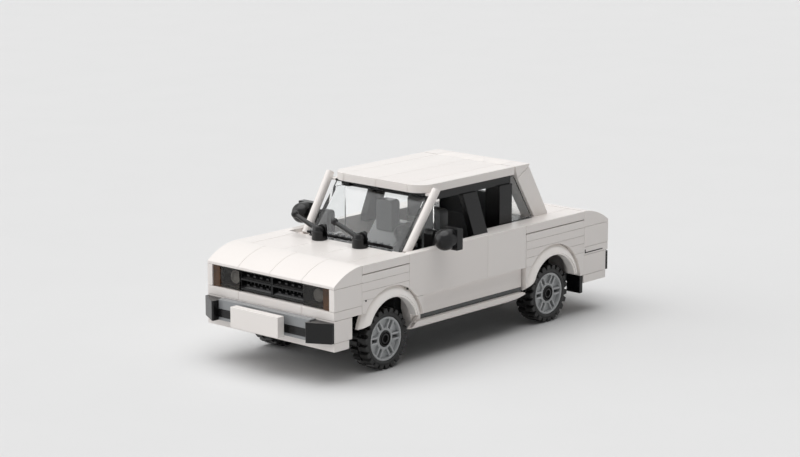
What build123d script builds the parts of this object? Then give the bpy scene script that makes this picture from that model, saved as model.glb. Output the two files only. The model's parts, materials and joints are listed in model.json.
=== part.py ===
from build123d import *
import math
import os

# Brick-built toy sedan. Millimetres. +X forwards, +Y to the car's left, +Z up.
# The origin is on the floor, midway between the two number plates.
# Stations s are measured backwards from the nose face, so X = NOSE_X - s.

# --- brick module -----------------------------------------------------------
STUD = 8.0                  # one stud across the car
PLATE = 3.2                 # one plate high
SEAM = 0.10                 # gap between neighbouring panels
COURSE_SEAM = 0.06          # gap between stacked courses of bricks
BAR_R = 1.59                # round bar

# --- body, lengthwise -------------------------------------------------------
BODY_LENGTH = 157.5
NOSE_X = BODY_LENGTH / 2
NOSE_CURVE = 14.4           # depth of the curved panels at the nose
TAIL_CURVE = 15.4           # depth of the curved panels at the tail
HOOD_END = 38.4
DOOR_START = 39.6
DOOR_SPLIT = 83.5
DOOR_END = 106.1
REAR_WALL = 119.9           # front face of the bricks under the boot lid
ROOF_START = 56.0
ROOF_END = 118.4
ROOF_BAND_END = 109.2       # where the corner post's head begins
POST_TOP = 117.4            # rear edge of the corner post at the roof
POST_FOOT = 129.3           # rear edge of the corner post at the deck
POST_DEPTH = 8.0
POST_ELBOW = (110.8, 58.2)  # where the post's front edge meets its head
PILLAR_START = 79.2         # middle pillar between the side windows
PILLAR_END = 87.2
SHOULDER_START = 88.0       # front end of the shelf beside the rear window columns
COLUMN_START = 100.4
COLUMN_END = 107.8

# --- body, across -----------------------------------------------------------
HALF_WIDTH = 4 * STUD
SIDE_IN = 3 * STUD          # inner face of the side bricks
DOOR_THICK = PLATE
ROOF_HALF = 23.4
RECESS_Y = 30.1             # outer face of the recessed lower panels
FLOOR_HALF = 24.8
PANEL_IN = 24.9             # inner face of the recessed lower panels
DOOR_Y = HALF_WIDTH - DOOR_THICK
SILL_IN = 29.5              # inner face of the sill bar's point, clear of the tyre
SILL_ROOT_Y = 28.6          # outer face of the sill plate behind the bar
BLOCK_HALF = 11.9           # half the width of the bearing bricks

# --- body, heights ----------------------------------------------------------
VALANCE_Z = 4 * PLATE
APRON_Z = 5 * PLATE
STRIP_Z = 7.5 * PLATE       # underside of the nose strip
LAMP_Z = 8.5 * PLATE        # underside of the lamp opening
CURVE_Z = 11 * PLATE        # underside of the curved end panels
BELT_Z = 12 * PLATE         # underside of the belt plates
DECK_Z = 13 * PLATE         # top of hood, belt and boot lid
DOOR_BOTTOM_Z = 25.2
ROOF_TOP_Z = 62.9
ROOF_UNDER_Z = ROOF_TOP_Z - 3.1
CURVE_LIP = 1.0             # upright lip under each curved panel's edge
SILL_LOW = 13.3             # underside of the sill bar
SILL_HIGH = 15.8            # and its top
SILL_STRIP_Z = 17.4         # top of the dark strip above the bar
SILL_TIP = 40.5             # the bar's pointed front end
SILL_HEEL = 43.7            # where the point's slope reaches its top
SILL_START = 47.2           # front end of the recess
SILL_END = 105.6
SILL_FIN_Z = 18.2
LAMP_HALF = 29.5            # half the width of the lamp opening
GRILLE_RIBS = 6             # bays between the upright ribs of each half

# --- wheels -----------------------------------------------------------------
FRONT_AXLE = 30.3
REAR_AXLE = 124.1
TYRE_R = 11.4
TYRE_WIDTH = 8.0
WHEEL_FACE_Y = 29.2
RIM_R = 8.2
RIM_WIDTH = 7.4
HUB_R = 3.0
AXLE_R = 2.35
BEARING_CLEARANCE = 0.05
FRONT_ARCH = 30.3
REAR_ARCH = 123.1           # the rear arch stands a little ahead of its axle
ARCH_Z = 14.5
ARCH_INNER = 12.9
ARCH_OUTER = 17.0
ARCH_BACK_Y = 29.0
ARCH_EDGE_Y = 30.3          # where the arch's face leaves its outer edge
ARCH_Y = 33.0               # and how far it bulges out at its inner edge
ARCH_LIP = 0.7
WELL_R = 13.4               # wall behind the front wheel
# heights of each arch's feet, at the outer and the inner edge: front leg, rear leg
FRONT_ARCH_FEET = ((17.9, 19.9), (18.4, 18.4))
REAR_ARCH_FEET = ((15.9, 19.6), (17.6, 17.6))

# --- bumpers ----------------------------------------------------------------
BUMPER_DEPTH = 3.2
BUMPER_HALF = 23.1
CORNER_REACH = 6.3          # how far a corner piece stands out at its inner end
CORNER_EDGE = 1.3           # and at the body's edge
PLATE_FACE = 8.0            # number plate's face ahead of the nose
PLATE_THICK = 3.2
PLATE_HALF = 1.5 * STUD
TAIL_STEP = 1.4             # how far the rear bumper is set in
TAIL_APRON = 14.0           # depth of the rear apron and valance

# --- tread ------------------------------------------------------------------
LUGS = 22
LUG_DEPTH = 1.3
LUG_TOP = 0.50              # share of the pitch that a lug's top takes
LUG_FOOT = 0.66             # and its foot
SHOULDER_WIDTH = 0.7        # the lugs slope off this far from the sidewall
LUG_TURN = 2.0              # degrees that the lugs are turned from the spokes


def box(s0, s1, y0, y1, z0, z1):
    """A brick between two stations, two widths and two heights."""
    size = (s1 - s0, y1 - y0, z1 - z0)
    centre = (NOSE_X - (s0 + s1) / 2, (y0 + y1) / 2, (z0 + z1) / 2)
    return Pos(*centre) * Box(*size)


def solids_of(pieces):
    """One flat list of solids from single shapes and lists."""
    if not isinstance(pieces, (list, tuple)):
        pieces = [pieces]
    flat = []
    for piece in pieces:
        flat.extend(piece.solids())
    return flat


def both(pieces):
    """Left pieces and their mirror images on the right."""
    left = solids_of(pieces)
    return left + [mirror(piece, Plane.XZ) for piece in left]


def turned(shape, inwards=0.0):
    """The same piece at the other end of the car, moved in by a step."""
    return Pos(inwards, 0, 0) * Rot(0, 0, 180) * shape


def courses(shape, levels):
    """A shape cut into stacked courses of bricks."""
    layers = []
    for low, high in zip(levels, levels[1:]):
        layer = Pos(0, 0, (low + high) / 2) * Box(400, 400, high - low - COURSE_SEAM)
        layers.append(shape & layer)
    return layers


def side_prism(points, y0, y1):
    """An outline of (station, height) points, pulled from y0 to y1."""
    outline = [(NOSE_X - s, z) for s, z in points]
    face = make_face(Polyline(*outline, close=True))
    face = Plane.XZ * face
    return Pos(0, y1, 0) * extrude(face, y1 - y0)


def across(s, z, r, y0, y1):
    """A round rod across the car."""
    rod = Rot(90, 0, 0) * Cylinder(r, y1 - y0)
    return Pos(NOSE_X - s, (y0 + y1) / 2, z) * rod


def save(name, pieces):
    """Write one sub-part, which may be several like solids on one body."""
    export_step(Compound(children=solids_of(pieces)), f"parts/{name}.step")


# --- shared cutters ---------------------------------------------------------
def wheel_space(arch_s, y0, y1, radius=ARCH_OUTER + 0.05):
    """What the arch and the wheel need in the side bricks, open below."""
    round_part = across(arch_s, ARCH_Z, radius, y0, y1)
    return round_part + box(arch_s - radius, arch_s + radius, y0, y1, 0, ARCH_Z)


# --- underside --------------------------------------------------------------
def chassis_plate():
    """The floor, open at the wheels and round the bearing bricks."""
    floor = box(9.2, BODY_LENGTH - TAIL_CURVE, -FLOOR_HALF, FLOOR_HALF, VALANCE_Z, APRON_Z)
    for axle_s in (FRONT_AXLE, REAR_AXLE):
        for wheel_bay in both(box(axle_s - 14.4, axle_s + 14.4, 14.4, 30.0, 0, DECK_Z)):
            floor -= wheel_bay
        floor -= box(axle_s - STUD, axle_s + STUD, -BLOCK_HALF, BLOCK_HALF, 0, DECK_Z)
        floor -= across(axle_s, TYRE_R, HUB_R + 0.35, -FLOOR_HALF, FLOOR_HALF)
    for s in (56, 104):
        for y in (-16, 16):
            floor -= Pos(NOSE_X - s, y, VALANCE_Z) * Cylinder(2.45, 4.0)
    return floor


def axle_blocks():
    """Bearing bricks with a round hole each, set into the floor."""
    blocks = []
    for axle_s in (FRONT_AXLE, REAR_AXLE):
        half = STUD - 0.02
        width = BLOCK_HALF - 0.02
        block = box(axle_s - half, axle_s + half, -width, width, 5.6, APRON_Z)
        bore = AXLE_R + BEARING_CLEARANCE
        blocks.append(block - across(axle_s, TYRE_R, bore, -20, 20))
    return blocks


def inner_bricks(s0, s1):
    """The plain bricks that carry the panels: a core, and plates over the wheels."""
    top = BELT_Z - 0.05
    core = box(s0, s1, -14.4, 14.4, APRON_Z, top)
    return core + box(s0, s1, -SIDE_IN + 0.1, SIDE_IN - 0.1, ARCH_Z + ARCH_OUTER, top)


# --- ends -------------------------------------------------------------------
def valance(depth):
    return box(0, depth, -HALF_WIDTH, HALF_WIDTH, VALANCE_Z, APRON_Z - SEAM)


def apron(depth):
    return box(0, depth, -HALF_WIDTH, HALF_WIDTH, APRON_Z, STRIP_Z - SEAM)


def bumper_bar():
    bar = box(-BUMPER_DEPTH, -0.02, -BUMPER_HALF, BUMPER_HALF, APRON_Z, STRIP_Z - 0.2)
    groove = box(-BUMPER_DEPTH - 1, -BUMPER_DEPTH + 0.6, -30, 30, 17.2, 20.2)
    return bar - groove


def bumper_strip():
    bar = box(-BUMPER_DEPTH - 0.3, -BUMPER_DEPTH + 0.58, -BUMPER_HALF, BUMPER_HALF, 17.25, 20.15)
    return bar


def bumper_corner():
    """A wedge that wraps round from the bar to the body's edge."""
    points = [(0, HALF_WIDTH), (CORNER_EDGE, HALF_WIDTH)]
    points += [(CORNER_REACH, BUMPER_HALF + 0.1), (0, BUMPER_HALF + 0.1)]
    outline = [(NOSE_X + 0.02 + out, y) for out, y in points]
    face = make_face(Polyline(*outline, close=True))
    wedge = Pos(0, 0, APRON_Z) * extrude(face, STRIP_Z - 0.6 - APRON_Z)
    return fillet(wedge.edges().filter_by(Axis.Z).sort_by(Axis.X)[-1], 0.6)


def number_plate(stem_end):
    """A blank plate on a stem that reaches back to the bumper's bar."""
    plate = box(-PLATE_FACE, -PLATE_FACE + PLATE_THICK, -PLATE_HALF, PLATE_HALF, 16.0, 23.6)
    stem = box(-PLATE_FACE + PLATE_THICK, stem_end, -4, 4, 17.6, 22.0)
    return plate + stem


def end_frame(depth):
    """The white surround of the lamps: a strip in three, two posts and a back."""
    depth -= SEAM
    strips = []
    for y0, y1 in ((-HALF_WIDTH, -2 * STUD), (-2 * STUD, 2 * STUD), (2 * STUD, HALF_WIDTH)):
        strips.append(box(0, depth, y0 + SEAM / 2, y1 - SEAM / 2, STRIP_Z, LAMP_Z - SEAM))
    posts = both(box(0, depth, LAMP_HALF, HALF_WIDTH, LAMP_Z, CURVE_Z))
    back = box(7.9, depth, -LAMP_HALF + SEAM, LAMP_HALF - SEAM, LAMP_Z, CURVE_Z)
    return strips + posts + [back]


def curved_panels(depth):
    """Four curved panels that run from the lamp opening up to the deck."""
    rise = DECK_Z - CURVE_Z
    pieces = []
    for column in range(4):
        y0 = -HALF_WIDTH + column * 2 * STUD
        start = (NOSE_X, CURVE_Z)
        lip = (NOSE_X, CURVE_Z + CURVE_LIP)
        crown = (NOSE_X - depth, CURVE_Z + rise)
        back = (NOSE_X - depth, CURVE_Z)
        middle = (NOSE_X - depth * 0.37, CURVE_Z + rise * 0.66)
        edges = Line(start, lip) + ThreePointArc(lip, middle, crown)
        edges += Line(crown, back) + Line(back, start)
        face = Plane.XZ * make_face(edges)
        panel = extrude(face, 2 * STUD - SEAM)
        pieces.append(Pos(0, y0 + 2 * STUD - SEAM / 2, SEAM) * panel)
    return pieces


def grille():
    """Two louvred halves: level fins with upright ribs between them."""
    half = 2 * STUD - 0.05
    low = LAMP_Z + 0.02
    high = CURVE_Z - 0.02
    body = box(3.4, 7.8, -half, half, low, high)
    for z0, z1 in ((low, low + 0.7), (28.6, 29.2), (31.4, 32.0), (high - 0.7, high)):
        body += box(1.0, 3.4, -half, half, z0, z1)
    for y in (-half + 0.4, -0.45, 0.45, half - 0.4):
        body += box(1.4, 3.4, y - 0.35, y + 0.35, low, high)
    for rib in range(1, GRILLE_RIBS):
        for middle in (-half / 2, half / 2):
            y = middle + (rib / GRILLE_RIBS - 0.5) * (half - 0.8)
            body += box(2.3, 3.4, y - 0.3, y + 0.3, low, high)
    return body


def lamp_block(y0, y1, face):
    return box(face, 7.8, y0, y1, LAMP_Z + 0.02, CURVE_Z - 0.02)


# --- sides ------------------------------------------------------------------
def front_fender():
    block = box(NOSE_CURVE, DOOR_START - SEAM, SIDE_IN, HALF_WIDTH, STRIP_Z, BELT_Z - 0.35)
    block -= wheel_space(FRONT_ARCH, SIDE_IN - 1, HALF_WIDTH + 1)
    return courses(block, (STRIP_Z, 9 * PLATE, 10 * PLATE, CURVE_Z, BELT_Z - 0.32))


def rear_quarter():
    block = box(DOOR_END + SEAM, BODY_LENGTH - TAIL_CURVE, SIDE_IN, HALF_WIDTH, APRON_Z, BELT_Z - 0.35)
    block -= wheel_space(REAR_ARCH, SIDE_IN - 1, HALF_WIDTH + 1)
    return courses(block, (APRON_Z, DOOR_BOTTOM_Z, 9 * PLATE, 10 * PLATE, CURVE_Z, BELT_Z - 0.32))


def belt(s0, s1):
    return box(s0, s1, SIDE_IN + SEAM, HALF_WIDTH, BELT_Z, DECK_Z)


def wheel_arch(middle_s, feet):
    """A thin round arch that bulges outwards to a stepped inner lip."""
    crest = ARCH_INNER + ARCH_LIP
    middle = ((ARCH_OUTER + crest) / 2 + 0.1, (ARCH_EDGE_Y + ARCH_Y) / 2 + 0.35)
    step = ARCH_Y - 0.5
    outline = Polyline((crest, ARCH_Y), (crest, step), (ARCH_INNER, step), (ARCH_INNER, ARCH_BACK_Y))
    outline += Polyline((ARCH_INNER, ARCH_BACK_Y), (ARCH_OUTER, ARCH_BACK_Y), (ARCH_OUTER, ARCH_EDGE_Y))
    outline += ThreePointArc((ARCH_OUTER, ARCH_EDGE_Y), middle, (crest, ARCH_Y))
    ring = revolve(make_face(outline), Axis.Y)
    ring = Pos(NOSE_X - middle_s, 0, ARCH_Z) * ring
    for way, (outer_z, inner_z) in zip((-1, 1), feet):
        below = [
            (middle_s, -10),
            (middle_s, inner_z),
            (middle_s + way * (ARCH_INNER - 1), inner_z),
            (middle_s + way * ARCH_OUTER, outer_z),
            (middle_s + way * 20, outer_z),
            (middle_s + way * 20, -10),
        ]
        ring -= side_prism(below, ARCH_BACK_Y - 1, ARCH_Y + 1)
    return ring


def front_door():
    """A flat panel, notched for the arch."""
    panel = box(DOOR_START, DOOR_SPLIT - SEAM, DOOR_Y, HALF_WIDTH, DOOR_BOTTOM_Z, DECK_Z)
    return panel - wheel_space(FRONT_ARCH, SIDE_IN, HALF_WIDTH + 1)


def rear_door():
    """A flat panel with a shoulder beside the window column."""
    panel = box(DOOR_SPLIT, DOOR_END - SEAM, DOOR_Y, HALF_WIDTH, DOOR_BOTTOM_Z, DECK_Z)
    return panel + box(SHOULDER_START, DOOR_END - SEAM, SIDE_IN, DOOR_Y, BELT_Z, DECK_Z)


def lower_panel():
    """The recessed panel under the doors, with a tongue that reaches up behind them."""
    low = SILL_STRIP_Z + 0.1
    panel = box(SILL_START, SILL_END, PANEL_IN, RECESS_Y, low, DOOR_BOTTOM_Z - SEAM)
    panel += box(SILL_START, SILL_END, PANEL_IN, DOOR_Y - 0.02, DOOR_BOTTOM_Z - 1, DOOR_BOTTOM_Z + 1.6)
    return panel - wheel_space(FRONT_ARCH, SIDE_IN, HALF_WIDTH)


def door_ledge():
    """The shelf that joins a door panel to the recessed panel below it."""
    low = DOOR_BOTTOM_Z + 1.7
    return box(SILL_START, SILL_END, PANEL_IN, DOOR_Y - 0.02, low, DOOR_BOTTOM_Z + 4.8)


def sill_plate():
    """The dark plate whose edge shows as a strip above the sill bar."""
    plate = box(SILL_START, SILL_END, PANEL_IN, SILL_ROOT_Y, VALANCE_Z, SILL_STRIP_Z)
    return plate + box(SILL_START, SILL_END, PANEL_IN, RECESS_Y, SILL_HIGH + 0.05, SILL_STRIP_Z)


def sill_bar():
    """A rounded bar along the foot of the body, cut to a hollow point in front."""
    low = SILL_LOW
    high = SILL_HIGH
    tail = [(104.0, high), (105.9, high - 0.3), (105.9, high - 1.0), (101.5, low + 0.6), (96.0, low)]
    bar = side_prism([(SILL_TIP, low), (SILL_HEEL, high)] + tail, SILL_IN, HALF_WIDTH)
    lower_edge = bar.edges().filter_by(Axis.X).group_by(Axis.Y)[-1].sort_by(Axis.Z)[0]
    bar = fillet(lower_edge, 1.1)
    pocket = [
        (SILL_TIP, low + 0.4),
        (SILL_HEEL + 2.6, low + 0.4),
        (SILL_HEEL + 2.6, high - 0.5),
        (SILL_TIP, high - 0.5),
    ]
    bar -= side_prism(pocket, SILL_IN + 0.8, HALF_WIDTH - 0.6)
    root = box(SILL_START + 0.1, 103.0, SILL_ROOT_Y + 0.05, SILL_IN + 0.1, low + 0.5, high)
    fin_end = SILL_START - 0.05
    fin = [(SILL_HEEL - 0.2, high - 0.1), (fin_end, SILL_FIN_Z), (fin_end, high - 0.1)]
    return bar + root + side_prism(fin, SILL_IN, SILL_IN + 1.0)


def sill_post():
    """The wall behind the front wheel, and the corner between its arch and the recess."""
    high = DOOR_BOTTOM_Z - SEAM
    wall = box(42.6, SILL_START - SEAM, PANEL_IN, ARCH_BACK_Y - 0.05, SILL_LOW, high)
    wall -= across(FRONT_ARCH, ARCH_Z, WELL_R, SIDE_IN, HALF_WIDTH)
    corner = box(42.6, SILL_START - SEAM, ARCH_BACK_Y - 0.1, HALF_WIDTH, SILL_FIN_Z + 0.1, high)
    return wall + (corner - wheel_space(FRONT_ARCH, SIDE_IN, HALF_WIDTH + 1))


# --- cabin ------------------------------------------------------------------
def roof_panels():
    """Four lengthwise rows of tiles; the outer two have round front corners."""
    rows = [(-ROOF_HALF, -2 * STUD), (-2 * STUD, 0), (0, 2 * STUD), (2 * STUD, ROOF_HALF)]
    pieces = []
    for y0, y1 in rows:
        panel = box(ROOF_START, ROOF_BAND_END, y0 + SEAM / 2, y1 - SEAM / 2, ROOF_UNDER_Z, ROOF_TOP_Z)
        side = math.copysign(1, y0 + y1)
        if max(abs(y0), abs(y1)) == ROOF_HALF:
            uprights = panel.edges().filter_by(Axis.Z)
            corner = uprights.sort_by(lambda edge: edge.center().X + side * edge.center().Y)[-1]
            panel = fillet(corner, 7.0)
        else:
            end = box(ROOF_BAND_END + SEAM, ROOF_END, y0 + SEAM / 2, y1 - SEAM / 2, ROOF_UNDER_Z, ROOF_TOP_Z)
            notch = Pos(NOSE_X - ROOF_BAND_END, side * STUD, ROOF_TOP_Z) * Cylinder(0.55, 3.0)
            panel -= notch
            pieces.append(end - notch)
        pieces.append(panel)
    return pieces


def rod_between(start, end, radius):
    """A round bar from one (station, y, z) point to another."""
    a = Vector(NOSE_X - start[0], start[1], start[2])
    b = Vector(NOSE_X - end[0], end[1], end[2])
    plane = Plane(origin=a, z_dir=b - a)
    return extrude(plane * Circle(radius), (b - a).length)


def roof_frame():
    """The dark ring of plates under the roof tiles, with a clip for each bar."""
    half = ROOF_HALF - 1.0
    ring = box(62.0, COLUMN_END, -half, half, ROOF_UNDER_Z - PLATE, ROOF_UNDER_Z)
    ring -= box(66.0, COLUMN_START, -2 * STUD, 2 * STUD, 40, 70)
    ring += box(58.0, 62.0, -half, half, ROOF_UNDER_Z - 0.8, ROOF_UNDER_Z)
    ring += box(ROOF_BAND_END - 1.4, ROOF_END - 1.0, -15.9, 15.9, ROOF_UNDER_Z - 0.8, ROOF_UNDER_Z)
    for clip in both(box(60.8, 62.4, 17.4, 21.4, ROOF_UNDER_Z - PLATE, ROOF_UNDER_Z)):
        ring += clip
    return ring


BAR_FOOT = (45.0, 25.5, DECK_Z - 1.4)
BAR_HEAD = (59.9, 26.8, 61.6)


def a_pillar():
    """A round bar beside the windscreen, with a foot inside the door and a clip at the roof."""
    foot = box(43.2, 47.4, 23.0, DOOR_Y - 0.05, BELT_Z, DECK_Z - 1.5)
    clip = box(58.6, 61.0, ROOF_HALF - 0.98, 26.4, ROOF_UNDER_Z - 0.85, ROOF_UNDER_Z - 0.02)
    return rod_between(BAR_FOOT, BAR_HEAD, BAR_R) + foot + clip


WINDSCREEN_FOOT = 42.6
WINDSCREEN_HEAD = 59.0
WINDSCREEN_REAR = 63.4
WINDSCREEN_HALF = 22.8
GLASS = 1.2


def windscreen():
    """A clear slanted pane with a three-cornered cheek at each side."""
    foot_z = DECK_Z - PLATE
    head_z = ROOF_UNDER_Z - 0.9
    cheek_z = ROOF_UNDER_Z - PLATE - 0.1
    slant = GLASS * 1.3
    foot = WINDSCREEN_FOOT
    head = WINDSCREEN_HEAD
    pane = [(foot, foot_z), (foot + slant, foot_z), (head + slant, head_z), (head, head_z)]
    cheek = [(foot, foot_z), (WINDSCREEN_REAR, foot_z), (WINDSCREEN_REAR, cheek_z), (head - 1.9, cheek_z)]
    screen = side_prism(pane, -WINDSCREEN_HALF, WINDSCREEN_HALF)
    for side in both(side_prism(cheek, WINDSCREEN_HALF - GLASS, WINDSCREEN_HALF)):
        screen += side
    return screen


def middle_pillar():
    """A dark pillar between the side windows, leaning in towards the roof."""
    foot_z = BELT_Z + 0.6
    head_z = ROOF_UNDER_Z - PLATE - 0.1
    foot = DOOR_Y - 0.1
    head = ROOF_HALF - 0.2
    thick = 2.4
    outline = [(foot, foot_z), (foot, DECK_Z), (head, head_z), (head - thick, head_z)]
    outline += [(foot - thick - 0.6, DECK_Z), (foot - thick - 0.6, foot_z)]
    face = make_face(Polyline(*outline, close=True))
    slab = extrude(Plane.YZ * face, PILLAR_END - PILLAR_START)
    return Pos(NOSE_X - PILLAR_END, 0, 0) * slab


def window_column():
    return box(COLUMN_START, COLUMN_END, 2 * STUD + 0.2, ROOF_HALF, BELT_Z, ROOF_UNDER_Z - PLATE)


def quarter_pane():
    head_z = ROOF_UNDER_Z - 0.9
    outline = [
        (COLUMN_END + 0.05, DECK_Z),
        (POST_FOOT - POST_DEPTH - 0.3, DECK_Z),
        (POST_ELBOW[0] - 0.3, POST_ELBOW[1]),
        (ROOF_BAND_END + 0.6, head_z),
        (COLUMN_END + 0.05, head_z),
    ]
    return side_prism(outline, ROOF_HALF - 2.2, ROOF_HALF - 1.0)


def corner_post():
    """The slanted rear roof post and the three-cornered head above it."""
    elbow_s, elbow_z = POST_ELBOW
    inner = 2 * STUD + 0.05
    head = [
        (elbow_s, elbow_z),
        (ROOF_BAND_END + 0.5, ROOF_TOP_Z),
        (ROOF_END, ROOF_TOP_Z),
        (POST_TOP + 0.4, ROOF_TOP_Z - 1.0),
    ]
    post = [
        (elbow_s + 0.12, elbow_z - 0.12),
        (POST_TOP + 0.5, ROOF_TOP_Z - 1.15),
        (POST_FOOT, DECK_Z + 0.9),
        (POST_FOOT, DECK_Z),
        (POST_FOOT - POST_DEPTH, DECK_Z),
    ]
    return [side_prism(head, inner, ROOF_HALF), side_prism(post, inner, ROOF_HALF)]


def rear_window():
    outline = [
        (POST_FOOT - 2.4, DECK_Z),
        (POST_FOOT - 4.0, DECK_Z),
        (POST_TOP - 2.6, ROOF_UNDER_Z - 0.9),
        (POST_TOP - 1.0, ROOF_UNDER_Z - 0.9),
    ]
    return side_prism(outline, -2 * STUD, 2 * STUD)


SEAT_Y = 12.0
SEAT_HALF = 7.4
HEADREST_HALF = 4.0


def seat(y_centre):
    """A front seat: cushion, sloping back and a round-shouldered headrest."""
    y0 = y_centre - SEAT_HALF
    y1 = y_centre + SEAT_HALF
    cushion = box(58.4, 74.0, y0, y1, APRON_Z, 28.8)
    back = side_prism([(67.6, 28.8), (77.8, 41.6), (82.0, 41.6), (82.0, APRON_Z), (74.0, APRON_Z)], y0, y1)
    head = box(74.4, 78.9, y_centre - HEADREST_HALF, y_centre + HEADREST_HALF, 38.4, 50.2)
    shoulders = head.edges().filter_by(Axis.X).group_by(Axis.Z)[-1]
    head = fillet(shoulders, 1.6)
    return cushion + back + head


def rear_bench():
    cushion = box(104.0, 116.0, -15.8, 15.8, APRON_Z + 1.0, 28.0)
    back = box(112.0, 116.0, -15.8, 15.8, 28.0, CURVE_Z - 0.1)
    return cushion + back


def parcel_shelf():
    """The dark shelf between the rear bench and the rear window."""
    return box(108.0, REAR_WALL - 0.1, -SIDE_IN + 0.1, SIDE_IN - 0.1, CURVE_Z, DECK_Z - 0.1)


def dashboard():
    """A shelf behind the windscreen on a bulkhead that stands on the floor."""
    shelf = box(44.4, 56.0, -20.0, 20.0, 30.4, 38.2)
    bulkhead = box(44.4, 47.6, -20.0, 20.0, APRON_Z, 30.4)
    return shelf + bulkhead - steering_wheel()


def steering_wheel():
    wheel = Cylinder(5.6, 1.6) - Cylinder(4.4, 2.0)
    wheel += Box(10.0, 1.6, 1.4)
    wheel += Box(1.6, 10.0, 1.4)
    wheel += Pos(0, 0, -4.2) * Cylinder(BAR_R, 8.4)
    return Pos(NOSE_X - 61.0, SEAT_Y, 41.0) * Rot(0, -62, 0) * wheel


def cowl():
    return box(HOOD_END, 44.4, -SIDE_IN + 0.1, SIDE_IN - 0.1, 36.0, BELT_Z)


# --- small outside pieces ---------------------------------------------------
WIPER_S = 35.8
WIPER_Y = (-9.4, 11.0)
WIPER_BASE_R = 2.95
WIPER_PIVOT_Z = DECK_Z + 3.3
WIPER_LEAN = 70.5           # lever's lean from upright, towards the right
WIPER_LENGTH = 13.5
WIPER_BALL_R = 1.4


def wiper_base(y):
    """A round foot with two rounded cheeks and a slot for the lever."""
    foot = Pos(0, 0, 1.7) * Cylinder(WIPER_BASE_R, 3.4)
    cheeks = Pos(0, 0, WIPER_PIVOT_Z - DECK_Z) * Rot(0, 90, 0) * Cylinder(2.3, 8.0)
    cheeks = cheeks & (Pos(0, 0, 4.0) * Cylinder(WIPER_BASE_R - 0.2, 8.0))
    slot = Pos(0, 0, 6.0) * Box(2.0, 8.0, 9.0)
    return Pos(NOSE_X - WIPER_S, y, DECK_Z) * (foot + cheeks - slot)


def wiper_lever(y):
    """A tapered lever from an eye in the base to a ball end."""
    start = Vector(NOSE_X - WIPER_S, y, WIPER_PIVOT_Z)
    lean = math.radians(WIPER_LEAN)
    way = Vector(0, -math.sin(lean), math.cos(lean))
    from_start = (Align.CENTER, Align.CENTER, Align.MIN)
    rod = Plane(origin=start, z_dir=way) * Cone(0.98, 0.78, WIPER_LENGTH, align=from_start)
    ball = Pos(*(start + way * WIPER_LENGTH)) * Sphere(WIPER_BALL_R)
    eye = Pos(*start) * Rot(0, 90, 0) * Cylinder(1.6, 1.9)
    return rod + ball + eye


MIRROR_Z = 45.2


def door_mirror():
    """A square glass plate behind a dome, carried on a bracket inside the door."""
    square = box(56.2, 59.4, 32.4, 40.2, MIRROR_Z - 3.9, MIRROR_Z + 3.9)
    middle = Pos(NOSE_X - 53.9, 36.2, MIRROR_Z)
    dome = (middle * Sphere(3.95)) & box(49.0, 53.95, 30, 42, 40, 50)
    base = middle * Pos(-1.2, 0, 0) * Rot(0, 90, 0) * Cylinder(3.95, 2.4)
    arm = across(57.8, MIRROR_Z, BAR_R, 26.0, 33.0)
    bracket = box(55.6, 59.8, 24.6, DOOR_Y - 0.1, BELT_Z, MIRROR_Z + 2.0)
    top = bracket.edges().filter_by(Axis.Y).group_by(Axis.Z)[-1]
    bracket = fillet(top, 1.8)
    return square + dome + base + arm + bracket


# --- running gear -----------------------------------------------------------
def axle(axle_s):
    """A cross-section axle with a round collar in each wheel's hub."""
    reach = WHEEL_FACE_Y - 1.0
    cross = Box(2 * AXLE_R, 2 * reach, 1.8) + Box(1.8, 2 * reach, 2 * AXLE_R)
    cross = cross & (Rot(90, 0, 0) * Cylinder(AXLE_R, 2 * reach))
    for sign in (1, -1):
        cross += Pos(0, sign * (reach - 1.4), 0) * Rot(90, 0, 0) * Cylinder(HUB_R, 2.8)
        cross += Pos(0, sign * 15.9, 0) * Rot(90, 0, 0) * Cylinder(HUB_R, 1.8)
    return Pos(NOSE_X - axle_s, 0, TYRE_R) * cross


def rim(axle_s, sign):
    """A wheel rim with six pairs of spokes in front of a closed web."""
    width = RIM_WIDTH
    tube = Cylinder(RIM_R, width) - Cylinder(RIM_R - 1.1, width + 1)
    web = Pos(0, 0, width / 2 - 5.0) * Cylinder(RIM_R - 1.0, 2.0)
    hub = Pos(0, 0, width / 2 - 4.0) * Cylinder(HUB_R + 1.0, 6.0)
    wheel = tube + web + hub
    for index in range(6):
        for offset in (-1.05, 1.05):
            spoke = Pos(5.2, offset, width / 2 - 1.1) * Box(5.0, 0.85, 1.2)
            wheel += Rot(0, 0, 60 * index) * spoke
    wheel -= Cylinder(HUB_R + 0.01, 40)
    y = sign * (WHEEL_FACE_Y - 0.3 - width / 2)
    return Pos(NOSE_X - axle_s, y, TYRE_R) * Rot(-90 * sign, 0, 0) * wheel


def lug_row():
    """Half a tread: square lugs pulled from an outline, their outer ends sloped."""
    pitch = 360 / LUGS
    outline = []
    for lug in range(LUGS):
        corners = (
            (TYRE_R - LUG_DEPTH, -LUG_FOOT),
            (TYRE_R, -LUG_TOP),
            (TYRE_R, LUG_TOP),
            (TYRE_R - LUG_DEPTH, LUG_FOOT),
        )
        for radius, share in corners:
            angle = math.radians(pitch * (lug + (share - LUG_TOP) / 2))
            outline.append((radius * math.cos(angle), radius * math.sin(angle)))
    row = extrude(make_face(Polyline(*outline, close=True)), TYRE_WIDTH / 2)
    drum = RegularPolygon(TYRE_R, LUGS, major_radius=False, rotation=pitch * (1 - LUG_TOP) / 2)
    inner = TYRE_WIDTH / 2 - SHOULDER_WIDTH
    envelope = extrude(drum, inner) + Pos(0, 0, inner) * extrude(drum, SHOULDER_WIDTH, taper=45)
    return row & envelope


def plain_tyre():
    """A broad tyre about the Z axis: the second row is the first turned over, so the lugs alternate."""
    row = lug_row()
    band = row + Rot(180, 0, 0) * row - Cylinder(RIM_R + 0.02, TYRE_WIDTH + 1)
    return Rot(0, 0, LUG_TURN) * band


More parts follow.
